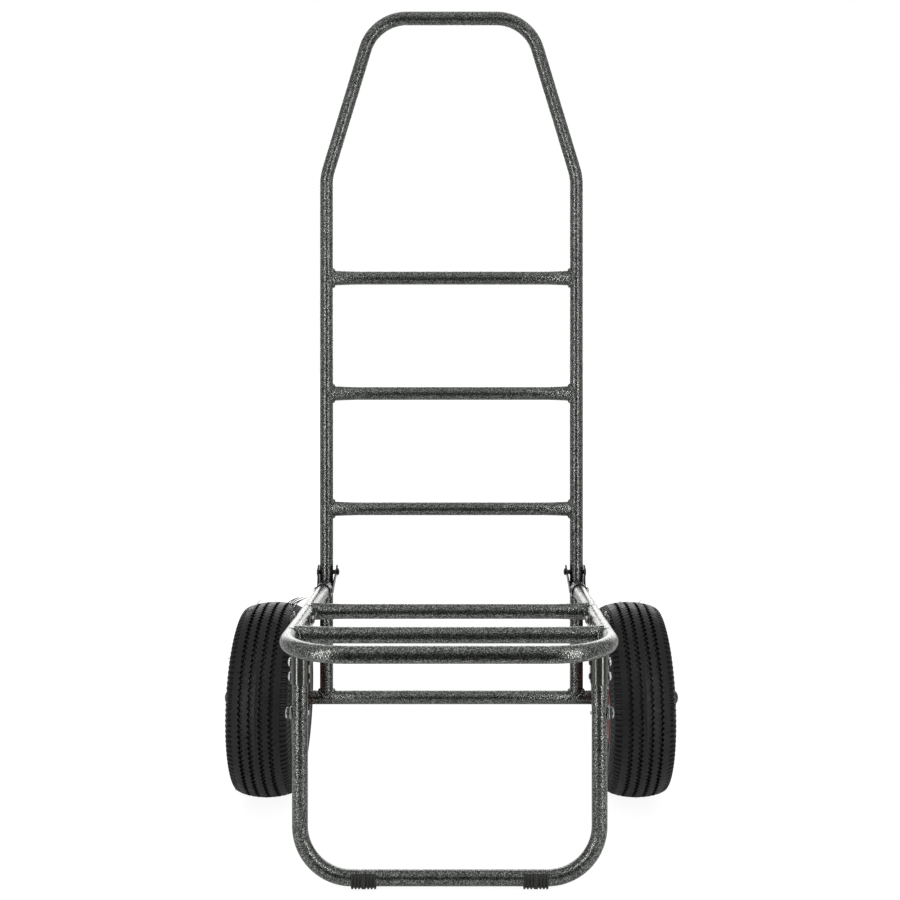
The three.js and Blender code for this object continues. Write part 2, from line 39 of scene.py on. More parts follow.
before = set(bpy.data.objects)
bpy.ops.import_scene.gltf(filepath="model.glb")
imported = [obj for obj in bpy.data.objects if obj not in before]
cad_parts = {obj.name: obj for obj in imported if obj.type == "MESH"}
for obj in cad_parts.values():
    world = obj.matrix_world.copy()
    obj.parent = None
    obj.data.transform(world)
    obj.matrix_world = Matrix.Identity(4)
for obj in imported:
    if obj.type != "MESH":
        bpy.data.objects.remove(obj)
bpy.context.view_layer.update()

# ---------------------------------------------------------------- places, from the frame


def middle(box):
    low, high = box
    return (low + high) / 2


AXLE_POINT = middle(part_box("axle_rod"))
FOLD_POINT = middle(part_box("fold_bolt_left"))
RISE = FOLD_POINT - AXLE_POINT
LEAN = Matrix.Rotation(-math.atan2(RISE.y, RISE.z), 4, "X")
STAND = (
    Matrix.Translation(AXLE_POINT)
    @ LEAN
    @ Matrix.Translation((0, 0, -AXLE_POINT.z))
    @ Matrix.Scale(MM, 4)
)
UPRIGHT = STAND.inverted()


def drawn_box(node):
    """Lowest and highest corner of a CAD node in the drawing."""
    points = [UPRIGHT @ v.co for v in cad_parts[node].data.vertices]
    return Vector(map(min, zip(*points))), Vector(map(max, zip(*points)))


def drawn(node):
    """Middle of a CAD node in the drawing."""
    return middle(drawn_box(node))


TUBE = 11.6  # outer radius of every frame tube
WALL = 1.6
PLATE = 2.0  # sheet of the folding brackets
CHANNEL = TUBE + 0.3  # inner half width of a bracket
BRACKET = CHANNEL + PLATE
BEND = 76.2  # centre line radius of the handle and leg bends
KNEE_BEND = 90.0
PLATFORM_BEND = 88.9
KNEE_HEIGHT = 1082.0  # where the uprights start to lean in
HANDLE_HALF = 135.2  # where the leaning tubes would meet the handle bar
EAR = 13.0  # radius of the ear round a fold bolt

AXLE_HEIGHT = AXLE_POINT.z / MM
TRACK = drawn("leg_bracket_right").x
TOP_HEIGHT = drawn_box("main_tube")[1].z - TUBE
PLATFORM_HEIGHT = drawn("platform_tube").z
PLATFORM_REAR = drawn_box("platform_tube")[1].y
PLATFORM_FRONT = drawn_box("platform_tube")[0].y + TUBE
LEG_REACH = drawn("leg_tube").y
LEG_TOP = drawn_box("leg_tube")[1].z
LEG_BAR = drawn_box("leg_tube")[0].z + TUBE
SLEEVE_END = drawn_box("leg_bracket_right")[0].z
SADDLE_END = drawn_box("fold_bracket_right")[0].y
FOLD = drawn("fold_nut_right")
LEG_PIVOT = drawn("leg_nut_right")

SIDES = {"left": -1, "right": 1}

# ---------------------------------------------------------------- shape tools

FULL_TURN = 2 * math.pi
TUBE_SIDES = 40
ROUND_SIDES = 48  # bolts, washers and other small turned pieces
WHEEL_SIDES = 144


def circle(radius, sides, rounder=1):
    """Points round a circle; rounder scales the radius, and may be a function of the angle."""
    shape = rounder if callable(rounder) else lambda angle: rounder
    angles = [FULL_TURN * i / sides for i in range(sides)]
    return [(radius * shape(a) * math.cos(a), radius * shape(a) * math.sin(a)) for a in angles]


def arc(centre, radius, start, end, steps):
    """Points of a plane arc between two angles in degrees."""
    angles = [math.radians(start + (end - start) * k / steps) for k in range(steps + 1)]
    return [(centre[0] + radius * math.cos(a), centre[1] + radius * math.sin(a)) for a in angles]


def curve(start, pull, end, steps=8):
    """Points of a plane quadratic curve that leans towards pull."""
    points = []
    for k in range(steps + 1):
        t = k / steps
        weights = ((1 - t) ** 2, 2 * t * (1 - t), t * t)
        points.append(tuple(
            sum(w * p[axis] for w, p in zip(weights, (start, pull, end))) for axis in (0, 1)
        ))
    return points


def rounded(points, radius, loop=False, steps=4):
    """A plane outline with its corners rounded off."""
    corners = [Vector(p) for p in points]
    count = len(corners)
    result = []
    for i, here in enumerate(corners):
        if not loop and i in (0, count - 1):
            result.append(tuple(here))
            continue
        before = corners[i - 1] - here
        after = corners[(i + 1) % count] - here
        half = before.angle(after) / 2
        reach = min(radius / math.tan(half), 0.45 * before.length, 0.45 * after.length)
        start = here + before.normalized() * reach
        end = here + after.normalized() * reach
        result += curve(start, here, end, steps)
    return result


def bent(corners, spacing=6.0):
    """A path of straight runs and round bends. A corner is a point and its bend radius."""
    path = [Vector(corners[0][0])]
    for before, (at, radius), after in zip(corners, corners[1:], corners[2:]):
        here = Vector(at)
        into = (here - Vector(before[0])).normalized()
        out = (Vector(after[0]) - here).normalized()
        turn = into.angle(out)
        centre = here + (out - into).normalized() * radius / math.cos(turn / 2)
        start = here - into * radius * math.tan(turn / 2) - centre
        steps = math.ceil(turn * radius / spacing)
        for k in range(steps + 1):
            path.append(centre + Quaternion(into.cross(out), turn * k / steps) @ start)
    path.append(Vector(corners[-1][0]))
    return path


def sweep(path, across, section, loop=False):
    """Rings of points along a path. section(i) gives ring i as (side, across) offsets."""
    count = len(path)
    steps = [(path[(i + 1) % count] - path[i]).normalized() for i in range(count)]
    rings = []
    for i, point in enumerate(path):
        ahead = steps[i] if loop or i < count - 1 else steps[i - 1]
        behind = steps[i - 1] if loop or i > 0 else steps[i]
        along = (ahead + behind).normalized()
        side = along.cross(across).normalized()
        up = side.cross(along)
        rings.append([point + side * u + up * v for u, v in section(i)])
    return rings


def skin(rings, loop=False):
    """The surface over rings of equal length. A loop joins its last ring to its first."""
    sides = len(rings[0])
    verts = [point for ring in rings for point in ring]
    faces = []
    for a in range(len(rings) if loop else len(rings) - 1):
        b = (a + 1) % len(rings)
        for i in range(sides):
            j = (i + 1) % sides
            faces.append((a * sides + i, a * sides + j, b * sides + j, b * sides + i))
    if not loop:
        last = len(verts) - sides
        faces.append(tuple(range(sides)))
        faces.append(tuple(range(last, last + sides)))
    return verts, faces


def merged(shapes):
    """Several shapes as one."""
    verts, faces = [], []
    for shape_verts, shape_faces in shapes:
        start = len(verts)
        verts += shape_verts
        faces += [tuple(i + start for i in face) for face in shape_faces]
    return verts, faces


def tube(path, across, outer=TUBE, wall=WALL):
    """A hollow tube along a path, with its bore open at both ends."""
    outside = sweep(path, across, lambda i: circle(outer, TUBE_SIDES))
    inside = sweep(path, across, lambda i: circle(outer - wall, TUBE_SIDES))
    return skin(outside + inside[::-1], loop=True)


def turned(profile, at, facing=1, loop=False, sides=ROUND_SIDES, rounder=1):
    """A shape turned about an X axis through at, from (radius, x) points. facing -1 mirrors it."""
    rings = []
    for radius, x in profile:
        round_points = circle(radius, sides, rounder)
        rings.append([Vector(at) + Vector((facing * x, y, z)) for y, z in round_points])
    return skin(rings, loop)


def sheet(centre_line, thickness):
    """A closed profile either side of a plane centre line."""
    points = [Vector(p) for p in centre_line]
    sides = ([], [])
    for i, here in enumerate(points):
        along = points[min(i + 1, len(points) - 1)] - points[max(i - 1, 0)]
        normal = Vector((-along.y, along.x)).normalized() * thickness / 2
        sides[0].append(tuple(here + normal))
        sides[1].append(tuple(here - normal))
    return sides[0] + sides[1][::-1]


# ---------------------------------------------------------------- pieces


def piece(name, body, material, shape, stands_for=(), crease=32.0, bevel=0.0, plate=0.0):
    """Makes one named piece from a drawn shape and lets it ride on a body.

    Edges sharper than crease stay sharp. A plate gets that thickness, and a bevel rounds edges.
    """
    verts, faces = shape
    mesh = bpy.data.meshes.new(name)
    mesh.from_pydata([STAND @ Vector(v) for v in verts], [], faces)
    work = bmesh.new()
    work.from_mesh(mesh)
    bmesh.ops.recalc_face_normals(work, faces=work.faces)
    work.to_mesh(mesh)
    work.free()
    mesh.shade_smooth()
    obj = bpy.data.objects.new(name, mesh)
    bpy.context.scene.collection.objects.link(obj)
    mesh.materials.append(material)
    if plate:
        solidify = obj.modifiers.new("sheet", "SOLIDIFY")
        solidify.thickness = plate * MM
        solidify.offset = 1
    if bevel:
        edges = obj.modifiers.new("edges", "BEVEL")
        edges.width = bevel * MM
        edges.segments = 2
        edges.limit_method = "ANGLE"
        edges.angle_limit = math.radians(crease)
        edges.harden_normals = True
    else:
        mesh.set_sharp_from_angle(angle=math.radians(crease))
    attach(obj, body)
    if stands_for:
        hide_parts(*stands_for)
    return obj


# ---------------------------------------------------------------- finishes


class Finish:
    """A Principled material, with short ways to add texture nodes to it."""

    def __init__(self, name):
        self.material = bpy.data.materials.new(name)
        self.material.use_nodes = True
        self.tree = self.material.node_tree
        self.shader = self.tree.nodes["Principled BSDF"]
        self.place = self.add("ShaderNodeTexCoord").outputs["Object"]

    def put(self, node, socket, value):
        if isinstance(value, bpy.types.NodeSocket):
            self.tree.links.new(value, node.inputs[socket])
        else:
            node.inputs[socket].default_value = value

    def add(self, kind, sockets=None, **settings):
        node = self.tree.nodes.new(kind)
        for key, value in settings.items():
            setattr(node, key, value)
        for key, value in (sockets or {}).items():
            self.put(node, key, value)
        return node

    def noise(self, size, detail=3.0, place=None):
        """Soft noise whose blotches are about size millimetres."""
        sockets = {"Vector": place or self.place, "Scale": 1 / (size * MM), "Detail": detail}
        return self.add("ShaderNodeTexNoise", sockets).outputs["Fac"]

    def cells(self, size, place=None, feature="F1"):
        """Distance inside cells of about size millimetres."""
        sockets = {"Vector": place or self.place, "Scale": 1 / (size * MM)}
        node = self.add("ShaderNodeTexVoronoi", sockets, feature=feature)
        return node.outputs["Distance"]

    def wandering(self, size, amount):
        """The place, pushed about by noise, so that a pattern isn't regular."""
        sockets = {"Vector": self.place, "Scale": 1 / (size * MM)}
        noise = self.add("ShaderNodeTexNoise", sockets).outputs["Color"]
        push = self.add("ShaderNodeVectorMath", {0: noise, 1: (amount * MM,) * 3},
                        operation="MULTIPLY")
        moved = self.add("ShaderNodeVectorMath", {0: self.place, 1: push.outputs[0]},
                         operation="ADD")
        return moved.outputs[0]

    def ramp(self, value, stops):
        """A colour or grey for each value: stops are (position, colour or grey)."""
        node = self.add("ShaderNodeValToRGB", {"Fac": value})
        scale = node.color_ramp
        while len(scale.elements) < len(stops):
            scale.elements.new(1.0)
        for element, (position, shade) in zip(scale.elements, stops):
            element.position = position
            grey = isinstance(shade, (int, float))
            element.color = ((shade,) * 3 if grey else tuple(shade)) + (1.0,)
        return node.outputs["Color"]

    def mix(self, factor, first, second, blend="MIX"):
        node = self.add("ShaderNodeMix", data_type="RGBA", blend_type=blend)
        self.put(node, 0, factor)
        for index, value in ((6, first), (7, second)):
            colour = value if isinstance(value, bpy.types.NodeSocket) else tuple(value) + (1.0,)
            self.put(node, index, colour)
        return node.outputs[2]

    def maths(self, operation, first, second):
        return self.add("ShaderNodeMath", {0: first, 1: second}, operation=operation).outputs[0]

    def edges(self, low, high):
        """1 on convex edges and 0 on flat faces, for wear."""
        bend = self.add("ShaderNodeNewGeometry").outputs["Pointiness"]
        return self.ramp(bend, [(low, 0.0), (high, 1.0)])

    def relief(self, height, depth, strength=1.0, under=None):
        """Bump of a depth in millimetres, on top of another bump if one is given."""
        sockets = {"Height": height, "Distance": depth * MM, "Strength": strength}
        if under is not None:
            sockets["Normal"] = under
        return self.add("ShaderNodeBump", sockets).outputs["Normal"]

    def surface(self, **values):
        """Sets the shader's sockets; underscores stand for spaces."""
        for key, value in values.items():
            socket = key.replace("_", " ")
            if isinstance(value, tuple) and len(value) == 3:
                value += (1.0,)
            self.put(self.shader, socket, value)
        return self.material


def hammered(name, silver, body, valley, cell, relief):
    """Hammered metallic paint. Its grain shows through the bump, so that it sparkles where dark
    and bright reflections meet and looks nearly smooth in an even light."""
    f = Finish(name)
    place = f.wandering(cell * 1.6, cell * 0.9)
    domes = f.cells(cell, place)
    flakes = f.ramp(domes, [(0.15, silver), (0.4, body), (0.7, valley)])
    blotches = f.ramp(f.noise(7, 4), [(0.35, 0.8), (0.65, 1.2)])
    colour = f.mix(1.0, flakes, blotches, "MULTIPLY")
    bump = f.relief(f.ramp(domes, [(0.0, 1.0), (0.75, 0.0)]), relief, 1.0)
    bump = f.relief(f.noise(40, 2), 0.3, 0.3, under=bump)
    roughness = f.ramp(domes, [(0.15, 0.16), (0.6, 0.3)])
    return f.surface(Base_Color=colour, Metallic=0.9, Roughness=roughness, Normal=bump,
                     Coat_Weight=0.1, Coat_Roughness=0.1)


def smooth_paint(name, body, valley, rim, gloss):
    """Smooth glossy paint with faint orange peel, worn thin on the edges."""
    f = Finish(name)
    mottle = f.ramp(f.cells(2.6, f.wandering(4, 2.4)), [(0.1, body), (0.7, valley)])
    worn = f.mix(f.maths("MULTIPLY", f.edges(0.53, 0.60), f.noise(3)), mottle, rim)
    bump = f.relief(f.noise(3.2, 2), 0.06, 0.5)
    roughness = f.ramp(f.noise(12), [(0.3, gloss), (0.7, gloss + 0.1)])
    return f.surface(Base_Color=worn, Metallic=0.8, Roughness=roughness, Normal=bump,
                     Coat_Weight=0.25, Coat_Roughness=0.12)


def rubber(name, body, dust, grain, roughness):
    """Matt rubber with a fine moulded grain and a little pale dust."""
    f = Finish(name)
    dusty = f.ramp(f.noise(26, 6), [(0.45, 0.0), (0.8, 1.0)])
    speck = f.ramp(f.noise(1.4, 4), [(0.5, 0.0), (0.75, 0.5)])
    colour = f.mix(f.maths("MULTIPLY", dusty, speck), body, dust)
    bump = f.relief(f.noise(grain, 5), 0.18, 0.55)
    rough = f.ramp(f.noise(14, 4), [(0.3, roughness - 0.08), (0.7, roughness + 0.1)])
    return f.surface(Base_Color=colour, Roughness=rough, Normal=bump,
                     Specular_IOR_Level=0.3)


def enamel(name, body, deep, chip):
    """Glossy stoving enamel with soft orange peel, and small chips along the edges."""
    f = Finish(name)
    colour = f.ramp(f.noise(30, 3), [(0.3, deep), (0.7, body)])
    chips = f.maths("MULTIPLY", f.edges(0.54, 0.62), f.ramp(f.noise(2.5, 6), [(0.5, 0), (0.6, 1)]))
    colour = f.mix(chips, colour, chip)
    bump = f.relief(f.noise(3.5, 2), 0.1, 0.5)
    return f.surface(Base_Color=colour, Roughness=0.22, Normal=bump,
                     Coat_Weight=0.8, Coat_Roughness=0.06)


def plated(name, pale, dull, gloss=0.2):
    """Metal plate: crystals of slightly different greys, fine turning marks and dull patches."""
    f = Finish(name)
    crystals = f.cells(3.2, f.wandering(2, 1.2))
    colour = f.ramp(crystals, [(0.1, pale), (0.8, dull)])
    tarnish = f.ramp(f.noise(11, 5), [(0.5, 0.0), (0.75, 0.6)])
    colour = f.mix(tarnish, colour, dull)
    stretched = f.add("ShaderNodeMapping", {"Vector": f.place, "Scale": (9.0, 1.0, 1.0)})
    bump = f.relief(f.noise(2.0, 3, stretched.outputs[0]), 0.05, 0.5)
    roughness = f.ramp(f.noise(6, 4), [(0.3, gloss), (0.75, 2 * gloss)])
    return f.surface(Base_Color=colour, Metallic=0.95, Roughness=roughness, Normal=bump)


def moulded(name, body, scuff):
    """Black moulded plastic with a fine spark-eroded grain and paler scuffed edges."""
    f = Finish(name)
    worn = f.maths("MULTIPLY", f.edges(0.53, 0.6), f.noise(2.0, 4))
    colour = f.mix(worn, body, scuff)
    bump = f.relief(f.noise(0.9, 3), 0.06, 0.6)
    roughness = f.ramp(f.noise(8), [(0.3, 0.34), (0.7, 0.5)])
    return f.surface(Base_Color=colour, Roughness=roughness, Normal=bump)


HAMMERED = hammered("hammered_paint", (0.40, 0.41, 0.39), (0.145, 0.153, 0.143),
                    (0.05, 0.054, 0.048), 2.2, 0.2)
SLEEVE_PAINT = smooth_paint("sleeve_paint", (0.095, 0.10, 0.09), (0.075, 0.08, 0.07),
                            (0.3, 0.3, 0.28), 0.16)
DARK_PAINT = smooth_paint("dark_paint", (0.035, 0.038, 0.035), (0.014, 0.016, 0.015),
                          (0.16, 0.16, 0.15), 0.28)
TYRE_RUBBER = rubber("tyre_rubber", (0.0045, 0.0045, 0.0055), (0.04, 0.038, 0.034), 1.6, 0.5)
WHISKER_RUBBER = rubber("whisker_rubber", (0.002, 0.002, 0.002), (0.01, 0.01, 0.01), 1.6, 0.9)
FOOT_RUBBER = rubber("foot_rubber", (0.022, 0.022, 0.021), (0.09, 0.085, 0.08), 1.0, 0.5)
RED_ENAMEL = enamel("rim_enamel", (0.28, 0.012, 0.011), (0.19, 0.008, 0.008), (0.2, 0.19, 0.18))
ZINC = plated("zinc_plate", (0.80, 0.81, 0.82), (0.50, 0.51, 0.52))
CHROME = plated("bright_plate", (0.70, 0.71, 0.73), (0.55, 0.56, 0.57), 0.08)
BLACK_PLASTIC = moulded("black_plastic", (0.016, 0.016, 0.017), (0.09, 0.09, 0.09))

# ---------------------------------------------------------------- tubes and welds

OVAL = 0.17  # share by which a rung's end is pressed taller and narrower
OVAL_LENGTH = 55.0
RUNG_END = 4.0  # a rung's end stops this far inside the side tube's centre line
BEAD = 3.6  # radius of a weld bead
DRESSED = TUBE + 0.3  # half height of a platform rung's weld
RIPPLE_LENGTH = 3.8  # one ripple of a weld bead


def bead(path, across, seed):
    """A rippled weld bead along a closed path."""
    chance = random.Random(seed)
    length = sum((path[i] - path[i - 1]).length for i in range(len(path)))
    ripples = round(length / RIPPLE_LENGTH)
    swell = [1 + chance.uniform(-0.09, 0.09) for _ in range(ripples)]

    def section(i):
        at = i / len(path) * ripples
        ripple = abs(math.sin(math.pi * at))
        radius = BEAD * swell[int(at) % ripples] * (0.84 + 0.2 * ripple)
        return circle(radius, 12)

    return skin(sweep(path, across, section, loop=True), loop=True)


def rung_bead(side, y, z, side_axis, seed):
    """The weld round a rung's end, where it meets a tube that runs along side_axis.

    On the platform it is dressed flat above and below, so that the folded frame clears it.
    """
    narrow = TUBE * (1 - OVAL)
    tall = TUBE * (1 + OVAL)
    path = []
    for i in range(180):
        a = FULL_TURN * i / 180
        dy = narrow * math.cos(a)
        dz = tall * math.sin(a)
        off_axis = dy if side_axis == "z" else dz
        off_axis = max(-TUBE, min(TUBE, off_axis))
        x = TRACK - math.sqrt(TUBE**2 - off_axis**2)
        path.append(Vector((side * x, y + dy, z + dz)))
    verts, faces = bead(path, Vector((1, 0, 0)), seed)
    if side_axis == "y":
        for point in verts:
            point.z = max(z - DRESSED, min(z + DRESSED, point.z))
    return verts, faces


def rung(node, body, side_axis):
    """A cross tube with oval ends, and its two welds."""
    at = drawn(node)
    reach = TRACK - RUNG_END
    fine = [reach - OVAL_LENGTH * k / 12 for k in range(13)]
    stations = [-x for x in fine] + [0.0] + fine[::-1]
    path = [Vector((x, at.y, at.z)) for x in stations]

    def section(i):
        from_end = reach - abs(stations[i])
        press = OVAL * max(0.0, 1 - from_end / OVAL_LENGTH) ** 1.5
        return [(u * (1 - press), v * (1 + press)) for u, v in circle(TUBE, TUBE_SIDES)]

    shape = skin(sweep(path, Vector((0, 0, 1)), section))
    piece(f"{node}_fine", body, HAMMERED, shape, [node])
    welds = [rung_bead(side, at.y, at.z, side_axis, node + end) for end, side in SIDES.items()]
    piece(f"{node}_welds", body, HAMMERED, merged(welds), crease=80)


def main_tube():
    """The handle and both uprights, one bent tube that lands on the axle tube."""
    path = bent([
        ((-TRACK, 0, AXLE_HEIGHT), 0),
        ((-TRACK, 0, KNEE_HEIGHT), KNEE_BEND),
        ((-HANDLE_HALF, 0, TOP_HEIGHT), BEND),
        ((HANDLE_HALF, 0, TOP_HEIGHT), BEND),
        ((TRACK, 0, KNEE_HEIGHT), KNEE_BEND),
        ((TRACK, 0, AXLE_HEIGHT), 0),
    ])
    shape = tube(path, Vector((0, 1, 0)))
    piece("main_tube_fine", "frame", HAMMERED, shape, ["main_tube"])


AXLE_TUBE = 12.0
AXLE_TUBE_WALL = 2.4


def axle_welds():
    """The welds where the uprights land on the axle tube."""
    beads = []
    for name, side in SIDES.items():
        path = []
        for i in range(160):
            a = FULL_TURN * i / 160
            y = TUBE * math.sin(a)
            z = AXLE_HEIGHT + math.sqrt(AXLE_TUBE**2 - y**2)
            path.append(Vector((side * TRACK + TUBE * math.cos(a), y, z)))
        beads.append(bead(path, Vector((0, 0, 1)), "axle" + name))
    piece("axle_welds", "frame", HAMMERED, merged(beads), crease=80)


def platform_tube():
    """The platform's one bent tube, open towards the uprights."""
    path = bent([
        ((-TRACK, PLATFORM_REAR, PLATFORM_HEIGHT), 0),
        ((-TRACK, PLATFORM_FRONT, PLATFORM_HEIGHT), PLATFORM_BEND),
        ((TRACK, PLATFORM_FRONT, PLATFORM_HEIGHT), PLATFORM_BEND),
        ((TRACK, PLATFORM_REAR, PLATFORM_HEIGHT), 0),
    ])
    shape = tube(path, Vector((0, 0, 1)))
    piece("platform_tube_fine", "platform", HAMMERED, shape, ["platform_tube"])


def leg_tube():
    """The leg's one bent tube, standing on its bar."""
    path = bent([
        ((-TRACK, LEG_REACH, LEG_TOP), 0),
        ((-TRACK, LEG_REACH, LEG_BAR), BEND),
        ((TRACK, LEG_REACH, LEG_BAR), BEND),
        ((TRACK, LEG_REACH, LEG_TOP), 0),
    ])
    shape = tube(path, Vector((0, 1, 0)))
    piece("leg_tube_fine", "leg", HAMMERED, shape, ["leg_tube"])


main_tube()
platform_tube()
leg_tube()
axle_welds()
for level in ("lower", "middle", "upper"):
    rung(f"{level}_rung", "frame", "z")
for place in ("rear", "front"):
    rung(f"platform_rung_{place}", "platform", "y")

# ---------------------------------------------------------------- axle

AXLE = 8.0
FIT = 0.3


def along_x(node, side=None):
    """A CAD node's x range in the drawing, from its inner to its outer end on one side."""
    low, high = drawn_box(node)
    ends = (low.x, high.x)
    return sorted(abs(x) for x in ends) if side else ends


def axle_parts():
    at = (0, 0, AXLE_HEIGHT)
    left, right = along_x("axle_tube")
    inner = AXLE_TUBE - AXLE_TUBE_WALL
    profile = rounded([(AXLE_TUBE, left), (AXLE_TUBE, right), (inner, right), (inner, left)],
                      0.6, loop=True)
    piece("axle_tube_fine", "frame", HAMMERED,
          turned(profile, at, loop=True), ["axle_tube"])
    left, right = along_x("axle_rod")
    profile = [(AXLE - 1, left), (AXLE, left + 1), (AXLE, right - 1), (AXLE - 1, right)]
    piece("axle_rod_fine", "frame", ZINC, turned(profile, at), ["axle_rod"])


def washer(node, body, side, outer):
    """A flat washer with softened edges."""
    start, end = along_x(node, side)
    bore = AXLE + FIT
    profile = rounded([(bore, start), (outer, start), (outer, end), (bore, end)], 0.5, loop=True)
    shape = turned(profile, (0, 0, AXLE_HEIGHT), side, loop=True)
    piece(f"{node}_fine", body, ZINC, shape, [node])


INNER_WASHER = 15.0
OUTER_WASHER = 17.0
CAP_SKIRT = 13.0
CAP_FLANGE = 15.5
CAP_DOME = 9.0


def axle_cap(name, side):
    """A pressed cap with a rolled rim and a domed end."""
    node = f"axle_cap_{name}"
    start, end = along_x(node, side)
    bore = AXLE + FIT
    dome = arc((0, 0), 1, 0, 84, 8)
    profile = [(bore, start), (CAP_FLANGE, start), (CAP_FLANGE, start + 1.6),
               (CAP_SKIRT, start + 2.6)]
    profile += [(CAP_SKIRT * r, end - CAP_DOME + CAP_DOME * x) for r, x in dome]
    shape = turned(profile, (0, 0, AXLE_HEIGHT), side)
    piece(f"{node}_fine", "frame", BLACK_PLASTIC, shape, [node])


axle_parts()
for name, side in SIDES.items():
    washer(f"inner_washer_{name}", "frame", side, INNER_WASHER)
    washer(f"outer_washer_{name}", "frame", side, OUTER_WASHER)
    axle_cap(name, side)

# ---------------------------------------------------------------- tyres

PITCHES = 110  # tread pattern repeats round a tyre
PITCH_STEPS = 6
LUG_CUT = (0, 0, 1, 1, 1, 0)  # how deep the shoulder is cut at each step of a pitch
TREAD_ARC = 133.0  # radius of the crown, across the tread
GROOVE_HALF = 3.0
GROOVE_FLOOR = 2.0
GROOVE_DEPTH = 5.0
SWAY = 1.9  # how far a groove swings to each side
GROOVES = (8.5, 24.5)
RIB_MIDDLE = 7.5  # from a groove to the middle of the rib outside it
LUG_DEPTH = 3.0
WIDEST = 52.0  # half width of the tyre where it is widest
WIDEST_RADIUS = 120.0
SIDE_BULGE = 10.9  # larger is a flatter sidewall
RIDGE = 0.9  # how far the moulded rings stand proud of the sidewall
RIDGES = (131, 127.5, 104, 97)


def crown(x):
    """Radius of the tread this far from the tyre's centre plane."""
    return AXLE_HEIGHT - x * x / (2 * TREAD_ARC)


def sidewall(radius):
    """Half width of the sidewall at a radius."""
    return WIDEST - ((radius - WIDEST_RADIUS) / SIDE_BULGE) ** 2


def tyre_half():
    """Columns of one half of the tyre from its centre plane out: x, radius or None on the tread,
    groove depth, share of the sway, and how far a shoulder cut pulls the column in and down."""
    still = (0, 0, 0)
    columns = [(0, -0.35, *still), (0.8, 0, *still)]
    for groove in GROOVES:
        for offset, depth in ((-GROOVE_HALF, 0), (-GROOVE_FLOOR, GROOVE_DEPTH),
                              (GROOVE_FLOOR, GROOVE_DEPTH), (GROOVE_HALF, 0)):
            columns.append((groove + offset, depth, 1, 0, 0))
        columns.append((groove + RIB_MIDDLE, 0, *still))
    columns += [(36.0, 0, *still), (38.6, 0, *still)]
    columns = [(x, crown(x) - depth, sway, dx, dr) for x, depth, sway, dx, dr in columns]
    shoulder = arc((42.0, 148.5), 8.6, 72, 4, 6)
    columns.append((39.2, crown(39.2), 0, 0, LUG_DEPTH))
    columns += [(x, r, 0, 0.6 * LUG_DEPTH * (x - 40) / 10, LUG_DEPTH) for x, r in shoulder]
    columns.append((51.6, 141.5, 0, 1.0, 0))
    columns.append((52.2, 139.0, 0, 0, 0))
    for ridge in RIDGES:
        for radius, proud in ((ridge + 1.4, 0), (ridge + 0.7, RIDGE), (ridge - 0.7, RIDGE),
                              (ridge - 1.4, 0)):
            columns.append((sidewall(radius) + proud, radius, *still))
        columns.append((sidewall(ridge - 5), ridge - 5, *still))
    columns += [(46.2, 89.0, *still), (44.0, 87.4, *still), (41.4, 79.2, *still)]
    columns += [(35.5, 79.2, *still), (43.0, 100.0, *still), (46.0, 122.0, *still),
                (34.0, 150.0, *still)]
    return columns


TYRE_STEPS = PITCHES * PITCH_STEPS
HOLLOW_COLUMNS = 4  # the last columns of a half lie inside the tyre


def tyre(name, side):
    """A ribbed tyre: zigzag grooves, cut shoulders and ringed sidewalls, all as geometry."""
    half = tyre_half()
    outside = half[:-HOLLOW_COLUMNS]
    inside = half[-HOLLOW_COLUMNS:]

    def flip(columns):
        return [(-x, r, -sway, -dx, dr) for x, r, sway, dx, dr in columns]

    columns = flip(outside)[:0:-1] + outside + inside + flip(inside)[::-1]
    rings = []
    for i in range(TYRE_STEPS):
        angle = FULL_TURN * i / TYRE_STEPS
        step = i % PITCH_STEPS
        swing = abs(2 * step / PITCH_STEPS - 1) * 2 - 1
        cut = LUG_CUT[step]
        ring = []
        for x, radius, sway, dx, dr in columns:
            r = radius - cut * dr
            across = x + SWAY * abs(sway) * swing - cut * dx
            ring.append(Vector((WHEEL_X * side + across, r * math.sin(angle),
                                AXLE_HEIGHT + r * math.cos(angle))))
        rings.append(ring)
    piece(f"tyre_{name}_fine", f"wheel_{name}", TYRE_RUBBER,
          skin(rings, loop=True), [f"tyre_{name}"], crease=38)


WHEEL_X = drawn("tyre_right").x
WHISKERS = 22
WHISKER_SPOTS = (-47, -33, -16, 0.5, 16, 33, 47)
SHORT_WHISKER = 0.6  # radius of a hair at its root
LONG_WHISKERS = 6  # a tuft on the inner shoulder of the left tyre
LONG_WHISKER = 1.0
SHOULDER_START = 40
SHOULDER_ROOT = 152.0  # a hair's root on the shoulder, from the axle


def whisker(side, x, angle, length, lean, radius=SHORT_WHISKER):
    """One thin rubber hair that stands on the tread and leans over."""
    foot_radius = crown(x) - 1 if abs(x) < SHOULDER_START else SHOULDER_ROOT
    out = Vector((0, math.sin(angle), math.cos(angle)))
    root = Vector((WHEEL_X * side + x, 0, AXLE_HEIGHT)) + out * foot_radius
    path = [root + (out + lean * (k / 4)) * length * k / 4 for k in range(5)]
    across = Vector((1, 0.3, 0.2)).normalized()
    return skin(sweep(path, across, lambda k: circle(radius * (1 - k / 8), 6)))


